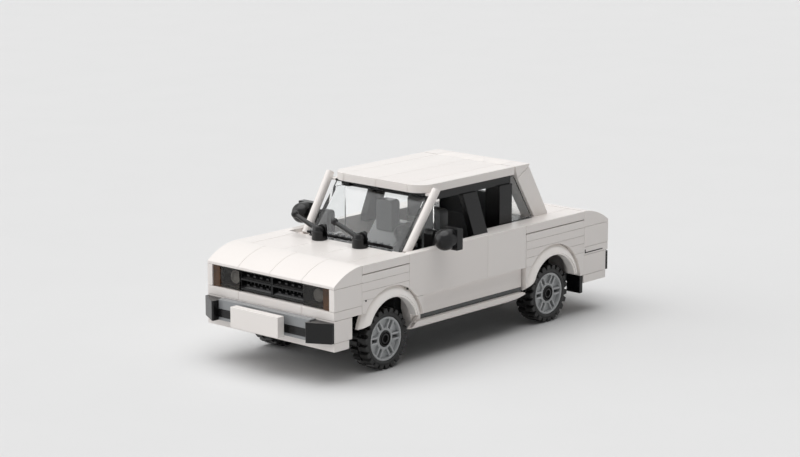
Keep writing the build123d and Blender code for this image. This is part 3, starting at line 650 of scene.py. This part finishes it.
# A reflector's profile, as (radius, height).
BOWL = (
    (0.0, 0.6), (1.0, 0.75), (1.7, 1.1), (2.1, 1.75), (2.35, 1.8), (2.45, 1.6), (2.45, 0.0),
    (0.0, 0.0),
)
LAMP_GAP = 0.1                          # between a lamp and what is beside it
HOLDER_DEPTH = 2.0
HOLDER_BARS = (1.6, 3.9, 6.2)           # heights above the lamp's lower edge
HOLDER_BAR_THICK = 0.7


def millimetres(node):
    """The low and high corners of a CAD node's box."""
    return [[c / MM for c in corner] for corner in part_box(node)]


def on_car(bm, name, slot, node=None):
    """A piece on the body from a bmesh in the car's own millimetres, perhaps for a CAD node."""
    bmesh.ops.transform(bm, matrix=Matrix.Scale(MM, 4), verts=bm.verts)
    piece = as_piece(bm, name, slot, "body")
    if node:
        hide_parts(node)


def add_side_prism(bm, outline, y0, y1, round_off):
    """A closed outline of (x, z) points pulled from y0 to y1."""
    prism = bmesh.new()
    add_prism(prism, outline, y1 - y0, round_off)
    add_copy(bm, prism, Matrix.Translation((0, y0, 0)) @ ALONG_Y)
    bmesh.ops.recalc_face_normals(bm, faces=bm.faces)


def add_grille_half(bm, back, front, first, last, z0, z1):
    """From first to last across: slats in a frame, ribs deep behind them and webs between."""
    slat = bmesh.new()
    add_side_prism(slat, SLAT, first, last, 0.05)
    slats = repeated(ROW, slat, "black_plastic", Count=SLATS, Step=SLAT_STEP)
    add_copy(bm, slats, Matrix.Translation((front - SET_BACK, 0, z0 + SLAT_FOOT)))
    add_block(bm, (back, first, z1 - TOP_BAR), (front - SET_BACK, last, z1), 0.08)
    for y in (first, last - END_BAR):
        add_block(bm, (back, y, z0), (front - 0.3, y + END_BAR, z1), 0.08)
    rib = bmesh.new()
    add_block(rib, (back + 2.4, first + 1.25, z0), (front - 2.1, first + 1.75, z1 - 0.3), 0.06)
    add_copy(bm, repeated(ROW, rib, "black_plastic", Count=RIBS, Step=RIB_STEP))
    web = bmesh.new()
    low, high = (front - 2.6, first + 2.4, z0 + 1.0), (front - 1.15, first + 3.7, z0 + 2.7)
    add_block(web, low, high, 0.08)
    webs = repeated(ROW, web, "black_plastic", Count=WEBS, Step=WEB_STEP)
    add_copy(bm, repeated(ROW, webs, "black_plastic", Count=SLATS, Step=SLAT_STEP))


def grille():
    """A dark back wall and two louvred halves before it."""
    (back, _, z0), (front, half, z1) = millimetres("grille")
    bm = bmesh.new()
    add_block(bm, (back, -half, z0), (back + 2.6, half, z1))
    for first, last in ((-half, -MIDDLE_GAP), (MIDDLE_GAP, half)):
        add_grille_half(bm, back, front, first, last, z0, z1)
    on_car(bm, "grille_louvres", SLOT_OF["grille"], "grille")


def add_cover(bm, back, front, y0, y1, z0, z1, wall):
    """A cover over a lamp: a front face with a wall above and below, open behind."""
    add_block(bm, (front - wall, y0, z0), (front, y1, z1), 0.25)
    inside = front - wall + 0.05
    add_block(bm, (back, y0, z0), (inside, y1, z0 + wall), 0.1)
    add_block(bm, (back, y0, z1 - wall), (inside, y1, z1), 0.1)


def lamps():
    """Smoked covers over round reflectors, and amber covers over dark holders."""
    (back, _, z0), (front, outer_y, z1) = millimetres("headlamps")
    (corner_back, _, _), (corner_front, corner_y, _) = millimetres("indicators")
    inner_y = millimetres("grille")[1][1] + LAMP_GAP
    middle_y, middle_z = (inner_y + outer_y) / 2, (z0 + z1) / 2
    facing = Matrix.Rotation(math.pi / 2, 4, "Y")
    covers, holders, bowls, ambers = (bmesh.new() for _ in range(4))
    for side in (-1, 1):
        y0, y1 = sorted((side * inner_y, side * outer_y))
        add_cover(covers, back + 2.2, front, y0, y1, z0, z1, 0.8)
        add_block(holders, (back, y0, z0), (back + HOLDER_DEPTH, y1, z1))
        bowl = bmesh.new()
        add_lathe(bowl, BOWL, steps=40, closed=False)
        add_copy(bowls, bowl, Matrix.Translation((back + 2.3, side * middle_y, middle_z)) @ facing)
        y0, y1 = sorted((side * (outer_y + LAMP_GAP), side * corner_y))
        add_cover(ambers, back + 1.4, corner_front, y0, y1, z0, z1, 0.9)
        add_block(holders, (corner_back, y0, z0), (corner_back + HOLDER_DEPTH, y1, z1))
        for height in HOLDER_BARS:
            low = (back + HOLDER_DEPTH, y0 + 0.5, z0 + height)
            high = (back + 4.6, y1 - 0.5, z0 + height + HOLDER_BAR_THICK)
            add_block(holders, low, high, 0.1)
    on_car(covers, "headlamp_covers", SLOT_OF["headlamps"], "headlamps")
    on_car(holders, "lamp_holders", "black_plastic")
    on_car(bowls, "lamp_bowls", "light_grey_plastic")
    on_car(ambers, "indicator_covers", SLOT_OF["indicators"], "indicators")


grille()
lamps()


# --- small pieces ---------------------------------------------------------------------------------

# Where thin black blocks in each side are painted shade for the gaps between bricks, as
# (x from, x to, z from, z to).
SIDE_GAPS = (
    (-75.2, -64.2, 24.7, 25.1),         # a long one behind the rear wheel
    (-64.4, -63.9, 24.7, 26.2),         # the step up at its front end
    (62.1, 62.8, 28.2, 28.9),           # a pinhole ahead of the front wheel arch
    (39.8, 40.5, 28.6, 29.3),           # and one behind it
)
GAP_INNER_Y, GAP_OUTER_Y = 31.5, 32.05  # from inside the side's face to just outside it

STUD_PITCH = 8.0
TUBES_ALONG, TUBES_ACROSS = 8, 5
FIRST_TUBE = (-25.25, -16.0, 0)
# Nearly flush with the chassis plate, so that its sockets still mate.
TUBE_END = ((2.46, 12.72), (3.15, 12.72), (3.15, 12.85), (2.46, 12.85))

# The painted highlights along the windscreen's foot: how many, and how far apart.
GLINTS_AT_FOOT, FOOT_GLINT_STEP = 13, (0.0, 3.2, 0.0)


def windscreen_ledge():
    """A black strip at the windscreen's foot: painted shade for the gap there."""
    bm = bmesh.new()
    add_block(bm, (36.4, -21.5, 41.5), (37.3, 21.5, 42.5), 0.15)
    on_car(bm, "windscreen_ledge", "black_plastic")


def rear_headrest():
    """A dark grey block on the parcel shelf, right behind the bench: painted shade for the dark of
    the cabin, seen through the side windows.
    """
    bm = bmesh.new()
    add_block(bm, (-32.0, -14.0, 41.4), (-29.3, 14.0, 51.5), 0.5)
    on_car(bm, "rear_headrest", "dark_grey_plastic")


def side_gaps():
    """Thin black blocks in both sides: painted shade for the gaps between bricks."""
    bm = bmesh.new()
    for side in (-1, 1):
        y0, y1 = sorted((side * GAP_INNER_Y, side * GAP_OUTER_Y))
        for x0, x1, z0, z1 in SIDE_GAPS:
            add_block(bm, (x0, y0, z0), (x1, y1, z1), 0.05)
    on_car(bm, "side_gaps", "black_plastic")


def chassis_tubes():
    """The ends of tubes in the chassis plate, on the pitch of the studs."""
    tube = bmesh.new()
    add_lathe(tube, TUBE_END, steps=24)
    slot = "dark_grey_plastic"
    row = repeated(ROW, tube, slot, Count=TUBES_ALONG, Step=(STUD_PITCH, 0.0, 0.0))
    tubes = repeated(ROW, row, slot, Count=TUBES_ACROSS, Step=(0.0, STUD_PITCH, 0.0))
    bmesh.ops.transform(tubes, matrix=Matrix.Translation(FIRST_TUBE), verts=tubes.verts)
    on_car(tubes, "chassis_tubes", slot)


def windscreen_lugs():
    """A row of short pale blocks along the windscreen's foot: painted highlights for its glints."""
    bm = bmesh.new()
    add_block(bm, (35.9, -20.6, 42.4), (36.5, -19.0, 43.1), 0.12)
    slot = "light_grey_plastic"
    row = repeated(ROW, bm, slot, Count=GLINTS_AT_FOOT, Step=FOOT_GLINT_STEP)
    on_car(row, "windscreen_lugs", slot)


windscreen_ledge()
rear_headrest()
side_gaps()
chassis_tubes()
windscreen_lugs()


# --- the rest -------------------------------------------------------------------------------------

MADE_ABOVE = {wheel + end for wheel, _, _ in WHEELS for end in ("_tyre", "_rim")}
MADE_ABOVE |= {"grille", "headlamps", "indicators"}
for node_name in frame["nodes"]:
    if node_name not in MADE_ABOVE:
        moulding(node_name)


# --- camera, light and floor ----------------------------------------------------------------------

CAMERA_AZIMUTH = math.radians(42.04)     # from +X towards +Y
CAMERA_HEIGHT = math.radians(12.09)
CAMERA_DISTANCE = 915.1 * MM
CAMERA_TARGET = Vector((7.07, -1.70, 41.14)) * MM
CAMERA_LENS = 108.7
CAMERA_NEAR = 0.01                       # metres, well short of the car
BACKDROP = "#E6E6E6"
ROOM_STRENGTH = 0.19
FLOOR_HALF = 6.0                         # metres, so that its edge is out of view
FLOOR_GRAIN = 40                         # millimetres


def direction(azimuth, height):
    """The unit vector towards an azimuth and a height above the floor."""
    flat = math.cos(height)
    return Vector((flat * math.cos(azimuth), flat * math.sin(azimuth), math.sin(height)))


def aim(thing, towards):
    """Turns a camera or a lamp so that its back points that way."""
    thing.rotation_euler = towards.to_track_quat("Z", "Y").to_euler()


def add_camera():
    """A long lens at the front left, looking slightly down on the car."""
    back = direction(CAMERA_AZIMUTH, CAMERA_HEIGHT)
    data = bpy.data.cameras.new("camera")
    data.lens = CAMERA_LENS
    data.sensor_width = 36.0
    data.clip_start = CAMERA_NEAR
    camera = link("camera", data)
    camera.location = CAMERA_TARGET + back * CAMERA_DISTANCE
    aim(camera, back)
    bpy.context.scene.camera = camera


def add_floor():
    """A matt painted board, so even that only the car's shadow shows on it."""
    mesh = bpy.data.meshes.new("floor")
    half = FLOOR_HALF
    corners = [(-half, -half, 0), (half, -half, 0), (half, half, 0), (-half, half, 0)]
    mesh.from_pydata(corners, [], [(0, 1, 2, 3)])
    material, tree, shader, place = new_material("painted_board")
    grain = add_node(
        tree, "ShaderNodeTexNoise",
        {"Vector": place, "Scale": per_metre(FLOOR_GRAIN), "Detail": 3.0},
    )
    share = add_node(
        tree, "ShaderNodeMapRange",
        {"Value": grain.outputs["Fac"], "From Min": NOISE_LOW, "From Max": NOISE_HIGH},
    )
    colour = add_node(
        tree, "ShaderNodeMixRGB",
        {"Fac": share.outputs["Result"], "Color1": linear("#E0E0E0"), "Color2": linear("#DFDFDF")},
    )
    tree.links.new(colour.outputs["Color"], shader.inputs["Base Color"])
    shader.inputs["Roughness"].default_value = 0.9
    shader.inputs["Specular IOR Level"].default_value = 0.1
    mesh.materials.append(material)
    link("floor", mesh)


def add_sun(name, strength, breadth, azimuth, height):
    """A distant lamp; its breadth, azimuth and height are in degrees."""
    data = bpy.data.lights.new(name, "SUN")
    data.energy = strength
    data.angle = math.radians(breadth)
    aim(link(name, data), direction(math.radians(azimuth), math.radians(height)))


def add_lights():
    """A broad soft box overhead, and a weaker one low at the car's front right."""
    add_sun("overhead", 2.4, 70, -40, 84)
    add_sun("front", 1.1, 60, -45, 25)


def add_world():
    """A pale room that fills the shadows; camera, shine and glass see it as an even backdrop."""
    world = bpy.data.worlds.new("world")
    bpy.context.scene.world = world
    world.use_nodes = True
    tree = world.node_tree
    background = tree.nodes["Background"]
    ray = add_node(tree, "ShaderNodeLightPath").outputs
    shiny = add_node(
        tree, "ShaderNodeMath",
        {0: ray["Is Glossy Ray"], 1: ray["Is Transmission Ray"]}, operation="MAXIMUM",
    )
    seen = add_node(
        tree, "ShaderNodeMath", {0: ray["Is Camera Ray"], 1: shiny.outputs[0]}, operation="MAXIMUM"
    )
    strength = add_node(
        tree, "ShaderNodeMix", {"Factor": seen.outputs[0], "A": ROOM_STRENGTH, "B": 1.0},
        data_type="FLOAT",
    )
    tree.links.new(strength.outputs["Result"], background.inputs["Strength"])
    background.inputs["Color"].default_value = linear(BACKDROP)


add_camera()
add_floor()
add_lights()
add_world()
bpy.context.scene.view_settings.view_transform = "Standard"
